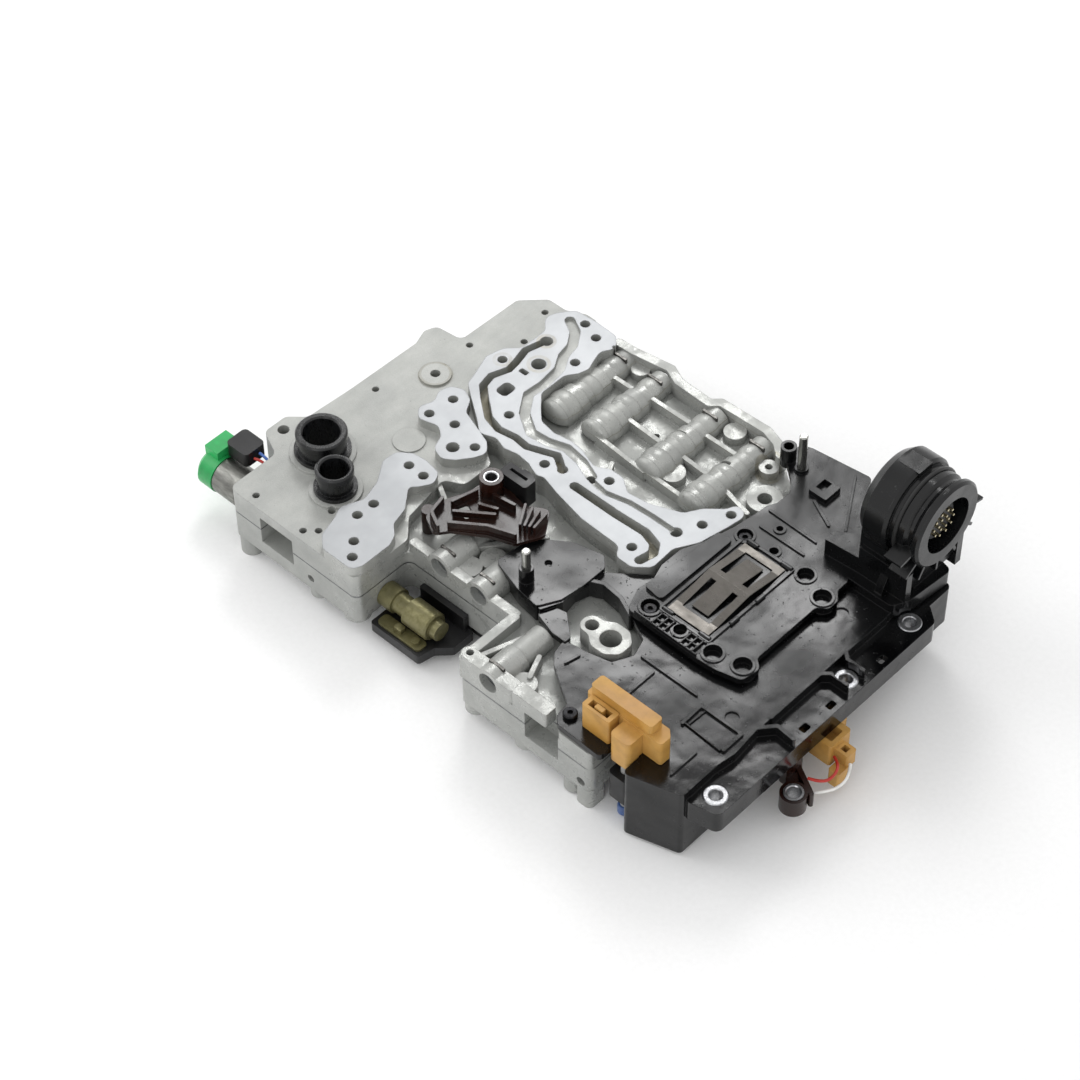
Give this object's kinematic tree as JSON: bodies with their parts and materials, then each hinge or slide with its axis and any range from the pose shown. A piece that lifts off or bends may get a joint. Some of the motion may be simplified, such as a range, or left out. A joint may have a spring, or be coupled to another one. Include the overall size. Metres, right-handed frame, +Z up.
{
  "type": "transmission mechatronic unit",
  "caption": "Hydraulic valve body with oil channels, spool valves, oil pipes, solenoids and a black electronics housing with a round plug socket.",
  "frame": {"origin": "centre of the unit's box on the plane that it stands on", "axes": "+X towards the plug socket, +Y across towards the valve bores' open ends, +Z up out of the machined lands"},
  "size_m": [0.4275, 0.2546, 0.137],
  "materials": {
    "cast_aluminium": "as cast, machined lands",
    "plate_steel": "satin",
    "machined_steel": "satin",
    "bore_aluminium": "turned",
    "solenoid_steel": "satin",
    "gold_metal": "yellow passivated",
    "contact_gold": "plated",
    "black_gloss": "oily gloss",
    "black_plastic": "satin",
    "brown_plastic": "satin",
    "orange_plastic": "satin",
    "green_plastic": "satin",
    "blue_plastic": "satin",
    "grey_cable": "satin",
    "red_wire": "satin",
    "white_wire": "satin",
    "seal_rubber": "matte",
    "board": "lacquered",
    "chips": "matte"
  },
  "bodies": {
    "valve_unit": {"arm_sleeve": "machined_steel", "body_bolts": "machined_steel", "bore_plugs": "bore_aluminium", "bracket_sleeve": "machined_steel", "cable_clip": "orange_plastic", "cable_end": "blue_plastic", "cable_guide": "black_plastic", "circuit_board": "board", "circuit_components": "chips", "clip_wire_red": "red_wire", "clip_wire_white": "white_wire", "connector_insert": "black_plastic", "connector_pins": "contact_gold", "connector_seal": "seal_rubber", "electronics_cover": "black_plastic", "electronics_housing": "black_gloss", "gold_solenoid": "gold_metal", "green_cap": "green_plastic", "housing_bushings": "machined_steel", "housing_screws": "machined_steel", "large_pipe": "black_gloss", "lead_frame": "black_plastic", "leaf_spring": "machined_steel", "left_solenoid": "solenoid_steel", "locating_pins": "machined_steel", "lower_valve_body": "cast_aluminium", "orange_plug": "orange_plastic", "plug_cable": "grey_cable", "plug_clips": "machined_steel", "sensor_arm": "brown_plastic", "sensor_bracket": "brown_plastic", "sensor_head": "black_plastic", "separator_plate": "plate_steel", "small_pipe": "black_gloss", "solenoid_clamp": "gold_metal", "solenoid_frame": "black_plastic", "solenoid_plug": "black_plastic", "solenoid_wire_blue": "blue_plastic", "solenoid_wire_red": "red_wire", "upper_valve_body": "cast_aluminium", "valve_spring_1": "machined_steel", "valve_spring_2": "machined_steel", "valve_spring_3": "machined_steel", "valve_spring_4": "machined_steel", "valve_spring_5": "machined_steel", "valve_spring_6": "machined_steel", "valve_spring_7": "machined_steel"},
    "spool_1": {"valve_spool_1": "bore_aluminium"},
    "spool_2": {"valve_spool_2": "bore_aluminium"},
    "spool_3": {"valve_spool_3": "bore_aluminium"},
    "spool_4": {"valve_spool_4": "bore_aluminium"},
    "spool_5": {"valve_spool_5": "bore_aluminium"},
    "spool_6": {"valve_spool_6": "bore_aluminium"},
    "spool_7": {"valve_spool_7": "bore_aluminium"}
  },
  "joints": [
    {"name": "spool_1_slide", "type": "slide", "parent": "valve_unit", "child": "spool_1", "axis": [0, 1, 0], "range_m": [0, 0.003], "stiffness_N_per_m": 1500, "springref_m": -0.002, "deforming": ["valve_spring_1"]},
    {"name": "spool_2_slide", "type": "slide", "parent": "valve_unit", "child": "spool_2", "axis": [0, 1, 0], "range_m": [0, 0.003], "stiffness_N_per_m": 1500, "springref_m": -0.002, "deforming": ["valve_spring_2"]},
    {"name": "spool_3_slide", "type": "slide", "parent": "valve_unit", "child": "spool_3", "axis": [0, 1, 0], "range_m": [0, 0.003], "stiffness_N_per_m": 1500, "springref_m": -0.002, "deforming": ["valve_spring_3"]},
    {"name": "spool_4_slide", "type": "slide", "parent": "valve_unit", "child": "spool_4", "axis": [0, 1, 0], "range_m": [0, 0.003], "stiffness_N_per_m": 1500, "springref_m": -0.002, "deforming": ["valve_spring_4"]},
    {"name": "spool_5_slide", "type": "slide", "parent": "valve_unit", "child": "spool_5", "axis": [0, -1, 0], "range_m": [0, 0.003], "stiffness_N_per_m": 1500, "springref_m": -0.002, "deforming": ["valve_spring_5"]},
    {"name": "spool_6_slide", "type": "slide", "parent": "valve_unit", "child": "spool_6", "axis": [0, -1, 0], "range_m": [0, 0.003], "stiffness_N_per_m": 1500, "springref_m": -0.002, "deforming": ["valve_spring_6"]},
    {"name": "spool_7_slide", "type": "slide", "parent": "valve_unit", "child": "spool_7", "axis": [0, -1, 0], "range_m": [0, 0.003], "stiffness_N_per_m": 1500, "springref_m": -0.002, "deforming": ["valve_spring_7"]}
  ]
}
